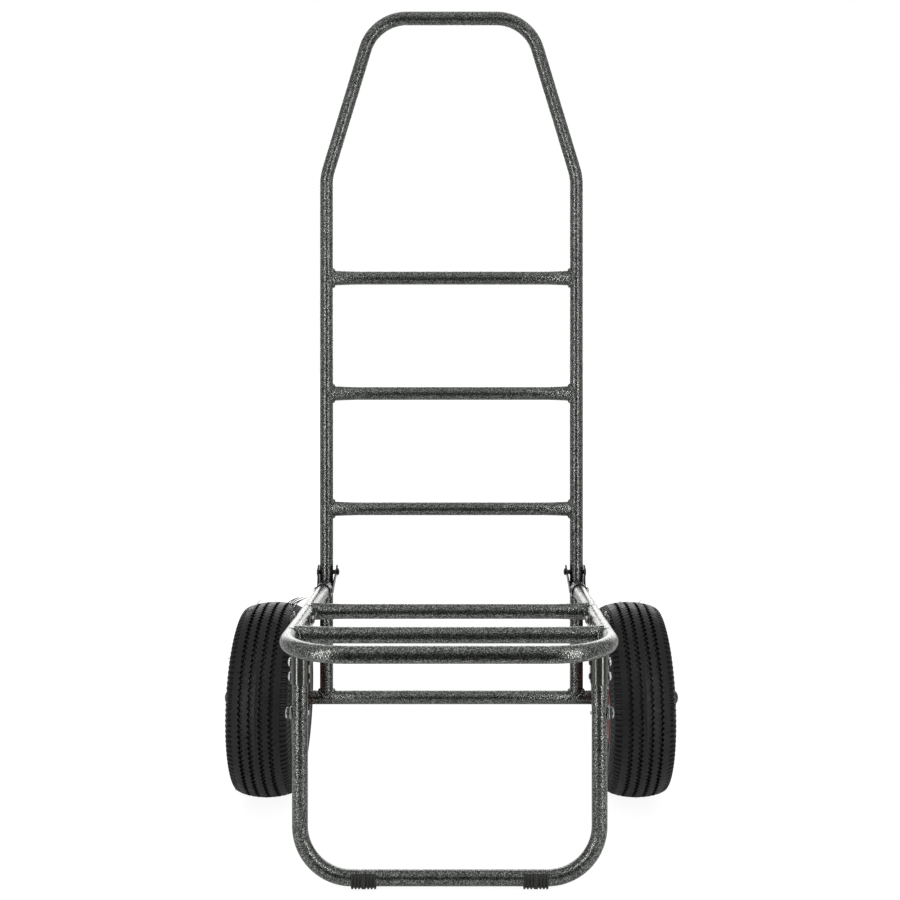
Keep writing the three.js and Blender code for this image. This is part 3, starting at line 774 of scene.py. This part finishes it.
def whiskers(name, side):
    """Thin rubber hairs that the mould's vents leave on a new tyre."""
    chance = random.Random("whiskers" + name)
    hairs = []
    for _ in range(WHISKERS):
        angle = math.radians(chance.uniform(-150, 150))
        lean = Vector((chance.uniform(-0.8, 0.8), chance.uniform(-0.5, 0.5), 0))
        hairs.append(whisker(side, chance.choice(WHISKER_SPOTS), angle, chance.uniform(3, 9), lean))
    if name == "left":
        for _ in range(LONG_WHISKERS):
            angle = math.radians(chance.uniform(0, 9))
            lean = Vector((chance.uniform(0.9, 1.5), 0, 0))
            length = chance.uniform(11, 15)
            hairs.append(whisker(side, chance.uniform(24, 39), angle, length, lean,
                                 LONG_WHISKER))
    piece(f"tyre_whiskers_{name}", f"wheel_{name}", WHISKER_RUBBER,
          merged(hairs))


# ---------------------------------------------------------------- rims, hubs and bearings

RIM_SHEET = 2.4
HUB = 20.2
BEARING = 17.2
SEAT = 11.3  # depth of a bearing's seat in the hub


def rim_half(node, body, at, facing):
    """One pressed half of a rim: disc, well, bead seat and a flange with a curled edge."""
    line = rounded([
        (HUB + FIT, 1.5), (60.5, 1.5), (68.8, 9), (68.8, 31), (76.8, 37.6), (76.8, 42.6),
        (85.2, 45.2), (87.4, 47.0), (86.2, 49.0),
    ], 4.0, steps=6)
    shape = turned(sheet(line, RIM_SHEET), at, facing, loop=True, sides=WHEEL_SIDES)
    piece(f"{node}_fine", body, RED_ENAMEL, shape, [node])


def hex_prism(start, end, flats, bore, at, facing=1):
    """A nut or bolt head along X with its corners chamfered; bore 0 leaves it solid."""
    apothem = flats / 2
    corner = apothem / math.cos(math.pi / 6)
    chamfer = (corner - 0.97 * apothem) / math.tan(math.radians(60))

    def ring(x, limit):
        points = []
        for i in range(72):
            a = FULL_TURN * i / 72
            from_flat = (a + math.pi / 6) % (math.pi / 3) - math.pi / 6
            r = min(apothem / math.cos(from_flat), limit)
            points.append(Vector(at) + Vector((facing * x, r * math.cos(a), r * math.sin(a))))
        return points

    def bored(x):
        return [Vector(at) + Vector((facing * x, y, z)) for y, z in circle(bore, 72)]

    steps = [0.97 * apothem + (corner - 0.97 * apothem) * k / 3 for k in range(4)]
    rings = [ring(start + chamfer * k / 3, limit) for k, limit in enumerate(steps)]
    rings += [ring(end - chamfer * k / 3, limit) for k, limit in reversed(list(enumerate(steps)))]
    if not bore:
        return skin(rings)
    return skin(rings + [bored(end), bored(start)], loop=True)


def rim_bolt(node, body, centre_x, side):
    """A bolt through both rim halves, with its nut, a washer under each, and thread to spare."""
    at = drawn(node)
    at.x = centre_x
    head = hex_prism(4.2, 7.8, 10, 0, at, side)
    nut_piece = hex_prism(-8.2, -4.2, 10, 0, at, side)
    washers = [
        turned(rounded([(0.5, s * 3.1), (7, s * 3.1), (7, s * 4.2), (0.5, s * 4.2)], 0.3), at, side)
        for s in (-1, 1)
    ]
    thread = [(3.0 if k % 2 else 2.6, -8.2 - 0.5 * k) for k in range(6)]
    shape = merged([head, nut_piece, *washers, turned(thread, at, side)])
    piece(f"{node}_fine", body, ZINC, shape, [node])


def bearing(node, body, side):
    """A sealed ball bearing: outer race, sunk seal and inner race."""
    start, end = along_x(node, side)
    bore = AXLE + FIT
    steps = [(bore, 0), (10.6, 0), (10.9, 0.9), (14.6, 0.9), (14.9, 0), (BEARING, 0)]
    profile = [(r, start + x) for r, x in steps] + [(r, end - x) for r, x in reversed(steps)]
    shape = turned(profile, (0, 0, AXLE_HEIGHT), side, loop=True)
    piece(f"{node}_fine", body, ZINC, shape, [node], crease=25)


def hub(name, side):
    """A hub barrel with a seat for a bearing at each end."""
    start, end = along_x(f"hub_{name}", side)
    seat = BEARING + FIT
    bore = AXLE + 1.5
    profile = rounded([
        (HUB, start), (HUB, end), (seat, end), (seat, end - SEAT), (bore, end - SEAT),
        (bore, start + SEAT), (seat, start + SEAT), (seat, start),
    ], 0.6, loop=True)
    shape = turned(profile, (0, 0, AXLE_HEIGHT), side, loop=True)
    piece(f"hub_{name}_fine", f"wheel_{name}", ZINC, shape, [f"hub_{name}"])


def valve(name):
    """The tube's rubber-covered valve stem, with a ribbed cap on its end."""
    low, high = drawn_box(f"valve_{name}")
    at = middle((low, high))
    stations = [(high.z, 4.0), (low.z + 13, 4.0), (low.z + 12, 3.0), (low.z + 10.5, 3.0),
                (low.z + 10.5, 4.2), (low.z + 1, 4.2), (low.z, 3.2)]
    rings = []
    for z, radius in stations:
        capped = z < low.z + 10.6
        ribs = (lambda a: 1 + 0.05 * math.cos(12 * a)) if capped else 1
        rings.append([Vector((at.x + x, at.y + y, z)) for x, y in circle(radius, 48, ribs)])
    piece(f"valve_{name}_fine", f"wheel_{name}", BLACK_PLASTIC, skin(rings),
          [f"valve_{name}"])


for name, side in SIDES.items():
    body = f"wheel_{name}"
    centre = Vector((side * WHEEL_X, 0, AXLE_HEIGHT))
    tyre(name, side)
    whiskers(name, side)
    rim_half(f"rim_outer_{name}", body, centre, side)
    rim_half(f"rim_inner_{name}", body, centre, -side)
    for number in range(1, 5):
        rim_bolt(f"rim_bolt_{number}_{name}", body, centre.x, side)
    hub(name, side)
    valve(name)
    for where in ("inner", "outer"):
        bearing(f"bearing_{where}_{name}", body, side)

# ---------------------------------------------------------------- brackets

ARC_STEPS = 24
BEVEL = 0.5


def folded_plate(name, body, material, outline, x, wrap, flare=None):
    """A sheet bracket: two cheeks of one outline, joined by a half round over a tube.

    The outline is (y, z) points, and its last point joins its first along the half round.
    flare gives how far the outer or the inner cheek spreads at a height.
    """
    def cheek(facing):
        spread = flare or (lambda z, outer: 0.0)
        outer = facing * x > 0
        return [Vector((x + facing * (CHANNEL + spread(z, outer)), y, z)) for y, z in outline]

    verts = cheek(1) + cheek(-1)
    count = len(outline)
    faces = [tuple(range(count)), tuple(range(2 * count - 1, count - 1, -1))]
    edge_ends = ((0, count), (count - 1, 2 * count - 1))
    strips = []
    for first, last in edge_ends:
        y, z = outline[first]
        strip = [first]
        for k in range(1, ARC_STEPS):
            a = math.pi * k / ARC_STEPS
            strip.append(len(verts))
            verts.append(Vector((x + CHANNEL * math.cos(a), y, z)) + wrap * CHANNEL * math.sin(a))
        strips.append(strip + [last])
    for k in range(ARC_STEPS):
        faces.append((strips[0][k], strips[0][k + 1], strips[1][k + 1], strips[1][k]))
    area = sum(
        a[0] * b[1] - b[0] * a[1] for a, b in zip(outline, outline[1:] + outline[:1])
    )
    if area < 0:
        faces = [face[::-1] for face in faces]
    return piece(f"{name}_fine", body, material, (verts, faces), [name],
                 crease=40, bevel=BEVEL, plate=PLATE)


def saddle_outline():
    """The fold bracket's cheek, from the saddle's front edge round by the ear and back."""
    low = PLATFORM_HEIGHT - 9
    front = SADDLE_END
    ear = arc((0, FOLD.z), EAR, -18, 162, 20)
    return (
        [(front, PLATFORM_HEIGHT), (front, low + 4)]
        + curve((front, low + 4), (front, low), (front + 4, low), 4)[1:]
        + [(-10, low)]
        + curve((-10, low), (3, low + 3), ear[0], 8)[1:]
        + ear[1:]
        + curve(ear[-1], (-15, PLATFORM_HEIGHT + 12), (-22, PLATFORM_HEIGHT + 8), 8)[1:]
        + [(-22, PLATFORM_HEIGHT)]
    )


OUTER_FLARE = 0.8  # how far each ear has spread where the fold bolt goes through
INNER_FLARE = 4.2
FLARE_START = 4.0  # above the platform tube's centre line


def ear_flare(z, outer):
    """The fold bracket's ears spread apart above the platform tube."""
    start = PLATFORM_HEIGHT + FLARE_START
    share = (z - start) / (FOLD.z - start)
    return (OUTER_FLARE if outer else INNER_FLARE) * max(0.0, min(1.3, share))


def sleeve_outline():
    """The leg bracket's cheek, from the sleeve's lower edge up behind the leg to the ear."""
    slim = SLEEVE_END + 38
    rear = LEG_PIVOT.y + EAR
    ear = arc((LEG_PIVOT.y, PLATFORM_HEIGHT), EAR, 0, 150, 18)
    return (
        [(LEG_REACH, SLEEVE_END), (LEG_REACH + 4, SLEEVE_END)]
        + curve((LEG_REACH + 4, SLEEVE_END), (LEG_REACH + 6, SLEEVE_END),
                (LEG_REACH + 6, SLEEVE_END + 2), 3)[1:]
        + curve((LEG_REACH + 7, slim), (rear - 4, slim + 6), ear[0], 12)
        + ear[1:]
        + [(LEG_REACH, LEG_TOP)]
    )


# ---------------------------------------------------------------- bolts, nuts and pins

THIN_NUT = 3.0  # how much thinner a nut is than its CAD node
NUT_FLATS = 11.0
NUT_BORE = 4.3
PIVOT_SHANK = 4.0
FOLD_HEAD = (7.0, 2.2)  # radius and height of a bolt's round head
LEG_HEAD = (7.5, 4.2)
RIVET_SHANK = 3.0
RIVET_HEAD = (6.3, 3.3)
RIVET_TAIL = 4.6  # radius of the peened end
TAIL_HEIGHT = 1.8
OUTER_FACE = TRACK + BRACKET + FIT
INNER_FACE = TRACK - BRACKET - FIT


def domed_bolt(node, body, slot, material, side, shank, head, height, tail=0.0,
               outer=0.0, inner=0.0):
    """A round-headed bolt through a bracket. A tail is the peened and painted end of a rivet.
    outer and inner say how far the bracket's cheeks have spread where the bolt goes through."""
    at = drawn(node)
    at.x = 0
    start = along_x(node, side)[0]
    face = OUTER_FACE + outer
    lip = face + 0.8
    steps = [math.radians(a) for a in range(0, 86, 8)]
    dome = [(head * math.cos(a), lip + (height - 0.8) * math.sin(a)) for a in steps]
    end = INNER_FACE if tail else start + THIN_NUT - inner
    profile = [(shank - 0.7, end), (shank, end + 0.7), (shank, face), (head, face)]
    piece(f"{node}_fine", body, material, turned(profile + dome, at, side), [node],
          crease=40)
    if tail:
        profile = [(tail * 0.6, INNER_FACE - TAIL_HEIGHT), (tail, INNER_FACE - 1),
                   (tail, INNER_FACE)]
        piece(f"{node}_tail", body, DARK_PAINT, turned(profile, at, side))


def fold_nut(node, body, material, side, inner=0.0):
    """A thin hexagon nut against the inner cheek, which has spread by inner."""
    at = drawn(node)
    at.x = 0
    start, end = along_x(node, side)
    shape = hex_prism(start + THIN_NUT - inner, end - inner, NUT_FLATS, NUT_BORE, at, side)
    piece(f"{node}_fine", body, material, shape, [node], crease=25)


KNOB = 7.6
KNOB_FLANGE = 9.8


def lock_pin(name, side):
    """The leg's pull pin: a shank, a thin bright flange, a black grip and a bright cap."""
    node = f"lock_pin_{name}"
    body = f"pin_{name}"
    at = drawn(node)
    at.x = 0
    start, end = along_x(node, side)
    face = TRACK + TUBE + FIT
    shank = [(1.6, start), (2.6, start + 0.5), (3.2, start + 1.6), (3.2, face + 1)]
    piece(f"{node}_shank", body, ZINC, turned(shank, at, side))
    flange = [(3.0, face), (KNOB_FLANGE - 1, face), (KNOB_FLANGE, face + 0.8),
              (KNOB_FLANGE - 0.6, face + 1.8), (KNOB - 1, face + 2.2)]
    piece(f"{node}_flange", body, CHROME, turned(flange, at, side), crease=40)
    grip = [(3.0, face + 2), (KNOB - 0.6, face + 2), (KNOB, face + 2.8), (KNOB, end - 3.4),
            (KNOB - 1, end - 2.6)]
    piece(f"{node}_grip", body, BLACK_PLASTIC, turned(grip, at, side), crease=40)
    dome = arc((0, 0), 1, 0, 86, 10)
    cap = [(KNOB - 1, end - 3.2), (KNOB + 0.2, end - 3.2), (KNOB + 0.4, end - 2.4)]
    cap += [(KNOB * r, end - 2 + 2 * x) for r, x in dome]
    piece(f"{node}_cap", body, CHROME, turned(cap, at, side), [node], crease=40)


for name, side in SIDES.items():
    x = side * TRACK
    folded_plate(f"fold_bracket_{name}", "platform", DARK_PAINT,
                 saddle_outline(), x, Vector((0, 0, 1)), ear_flare)
    folded_plate(f"leg_bracket_{name}", "leg", SLEEVE_PAINT,
                 sleeve_outline(), x, Vector((0, -1, 0)))
    domed_bolt(f"fold_bolt_{name}", "frame", "dark_paint", DARK_PAINT, side, PIVOT_SHANK,
               *FOLD_HEAD, outer=OUTER_FLARE, inner=INNER_FLARE)
    fold_nut(f"fold_nut_{name}", "frame", DARK_PAINT, side, INNER_FLARE)
    domed_bolt(f"leg_bolt_{name}", "platform", "dark_paint", DARK_PAINT, side, PIVOT_SHANK,
               *LEG_HEAD)
    fold_nut(f"leg_nut_{name}", "platform", ZINC, side)
    domed_bolt(f"saddle_bolt_{name}", "platform", "zinc", ZINC, side, RIVET_SHANK,
               *RIVET_HEAD, tail=RIVET_TAIL)
    for level in ("upper", "lower"):
        domed_bolt(f"sleeve_bolt_{level}_{name}", "leg", "zinc", ZINC, side, RIVET_SHANK,
                   *RIVET_HEAD, tail=RIVET_TAIL)
    lock_pin(name, side)

# ---------------------------------------------------------------- feet

FOOT_RADIUS = 13.8
FOOT_SAG = 1.8  # the rubber's round lies this far below the bar's centre, so its lips are thin
FOOT_GROOVE = 1.9
FOOT_WRAP = 9.0  # the lips end this far above the bar's centre
RIB = 2.8
RIB_GAP = 2.2
MIDDLE_RIB = 6.2


def foot(name):
    """A ribbed rubber clip on the leg's bar, open above and flat where it stands."""
    at = drawn(f"foot_{name}")
    bore = TUBE + 0.15
    ribs = [RIB, RIB, RIB, MIDDLE_RIB, RIB, RIB, RIB]
    x = -(sum(ribs) + RIB_GAP * (len(ribs) - 1)) / 2
    stations = []
    for width in ribs:
        end = x + width
        stations += [(x, FOOT_RADIUS - 0.7), (x + 0.5, FOOT_RADIUS),
                     (end - 0.5, FOOT_RADIUS), (end, FOOT_RADIUS - 0.7)]
        stations += [(end + 0.4, FOOT_RADIUS - FOOT_GROOVE),
                     (end + RIB_GAP - 0.4, FOOT_RADIUS - FOOT_GROOVE)]
        x += width + RIB_GAP
    stations = stations[:-2]
    lip = math.degrees(math.asin(FOOT_WRAP / bore))
    outer_lip = math.degrees(math.asin((FOOT_WRAP + FOOT_SAG) / FOOT_RADIUS)) - 4
    rings = []
    for x, radius in stations:
        outer = arc((0, -FOOT_SAG), radius, outer_lip, -180 - outer_lip, 40)
        inner = arc((0, 0), bore, -180 - lip, lip, 40)
        ring = []
        for y, z in outer + inner:
            standing = STAND @ Vector((at.x + x, LEG_REACH + y, LEG_BAR + z))
            standing.z = max(0.0, standing.z)
            ring.append(UPRIGHT @ standing)
        rings.append(ring)
    piece(f"foot_{name}_fine", "leg", FOOT_RUBBER, skin(rings), [f"foot_{name}"])


for name in SIDES:
    foot(name)

# ---------------------------------------------------------------- stage, light and camera

CAMERA_AT = Vector((15, -1850, 688.9))
LENS = 42.0
SHIFT_UP = -0.0556
SHIFT_SIDE = -0.0111
FLOOR_RADIUS = 12.0
FLOOR_SHADE = 0.18  # how much of the floor's own shading the camera sees; the rest is white
FLOOR_GLOW = 1.12


def stage_object(name, verts, faces, material):
    """A part of the studio, which is no part of the cart."""
    mesh = bpy.data.meshes.new(name)
    mesh.from_pydata(verts, [], faces)
    mesh.materials.append(material)
    obj = bpy.data.objects.new(name, mesh)
    bpy.context.scene.collection.objects.link(obj)
    return obj


def floor():
    """A floor that the camera sees as white with a faint shadow, and the cart's paint as grey
    under the cart and dark in front of it."""
    f = Finish("floor")
    split = f.add("ShaderNodeSeparateXYZ", {"Vector": f.place})
    ahead = f.maths("MULTIPLY_ADD", split.outputs["Y"], 0.5)
    ahead.node.inputs[2].default_value = 1.0
    grey = f.ramp(ahead, [(0.61, 0.06), (0.78, 0.95)])
    direct = f.add("ShaderNodeLightPath").outputs["Is Camera Ray"]
    f.surface(Base_Color=f.mix(direct, grey, (0.93, 0.93, 0.93)), Roughness=0.8)
    away = f.add("ShaderNodeVectorMath", {0: f.place}, operation="LENGTH").outputs["Value"]
    white = f.ramp(f.maths("DIVIDE", away, 4.0), [(0.1, 1.0 - FLOOR_SHADE), (0.4, 1.0)])
    glow = f.add("ShaderNodeEmission", {"Color": (1, 1, 1, 1), "Strength": FLOOR_GLOW})
    share = f.maths("MULTIPLY", white, direct)
    blend = f.add("ShaderNodeMixShader", {0: share, 1: f.shader.outputs[0], 2: glow.outputs[0]})
    f.put(f.tree.nodes["Material Output"], "Surface", blend.outputs[0])
    points = [(x, y, 0) for x, y in circle(FLOOR_RADIUS, 96)]
    stage_object("floor", points, [tuple(range(len(points)))], f.material)


DARK_CARD_AT = Vector((0, -1.95, 0.72))
DARK_CARD_HALF = 0.95


def dark_card():
    """A black card behind the camera, which the tubes mirror as a dark line."""
    f = Finish("dark_card")
    f.surface(Base_Color=(0.01, 0.01, 0.01), Roughness=0.9)
    corners = [DARK_CARD_AT + Vector((x, 0, z)) * DARK_CARD_HALF
               for x, z in ((-1, -1), (1, -1), (1, 1), (-1, 1))]
    card = stage_object("dark_card", corners, [(0, 1, 2, 3)], f.material)
    card.visible_camera = False


ROOM = 0.6  # brightness of the room round the cart
BACK_WALL = 3.2
TOP_WATTS = 9
STRIP_WATTS = 5
STRIP_HEIGHT = 0.85


def surroundings():
    """A grey room with a bright wall behind the cart; the camera sees plain white."""
    world = bpy.data.worlds.new("studio")
    bpy.context.scene.world = world
    world.use_nodes = True
    tree = world.node_tree
    way = tree.nodes.new("ShaderNodeTexCoord")
    split = tree.nodes.new("ShaderNodeSeparateXYZ")
    tree.links.new(way.outputs["Generated"], split.inputs[0])
    wall = tree.nodes.new("ShaderNodeMapRange")
    for socket, value in (("From Min", 0.8), ("From Max", 0.92), ("To Min", ROOM),
                          ("To Max", BACK_WALL)):
        wall.inputs[socket].default_value = value
    tree.links.new(split.outputs["Y"], wall.inputs["Value"])
    direct = tree.nodes.new("ShaderNodeLightPath")
    mix = tree.nodes.new("ShaderNodeMix")
    tree.links.new(direct.outputs["Is Camera Ray"], mix.inputs[0])
    tree.links.new(wall.outputs["Result"], mix.inputs[2])
    mix.inputs[3].default_value = 1.0
    tree.links.new(mix.outputs[0], tree.nodes["Background"].inputs["Strength"])
    tree.nodes["Background"].inputs["Color"].default_value = (1, 1, 1, 1)


def softbox(name, at, target, width, height, watts):
    """A large soft light that faces a point."""
    data = bpy.data.lights.new(name, "AREA")
    data.shape = "RECTANGLE"
    data.size = width
    data.size_y = height
    data.energy = watts
    lamp = bpy.data.objects.new(name, data)
    lamp.location = at
    aim = Vector(target) - Vector(at)
    lamp.rotation_euler = aim.to_track_quat("-Z", "Y").to_euler()
    lamp.visible_camera = False
    bpy.context.scene.collection.objects.link(lamp)


def camera():
    """The camera, level with the drawing, in front of the cart and a little to its right."""
    data = bpy.data.cameras.new("camera")
    data.lens = LENS
    data.shift_x = SHIFT_SIDE
    data.shift_y = SHIFT_UP
    view = bpy.data.objects.new("camera", data)
    view.matrix_world = (
        Matrix.Translation(STAND @ CAMERA_AT) @ LEAN @ Matrix.Rotation(math.pi / 2, 4, "X")
    )
    bpy.context.scene.collection.objects.link(view)
    bpy.context.scene.camera = view


floor()
dark_card()
surroundings()
softbox("top", (0, 0.3, 3.0), (0, 0, 0.6), 3.2, 3.0, TOP_WATTS)
for name, side in SIDES.items():
    softbox(f"strip_{name}", (side * 0.6, -0.75, STRIP_HEIGHT), (0, 0, STRIP_HEIGHT), 0.12, 1.7,
            STRIP_WATTS)
camera()
bpy.context.scene.view_settings.view_transform = "Standard"
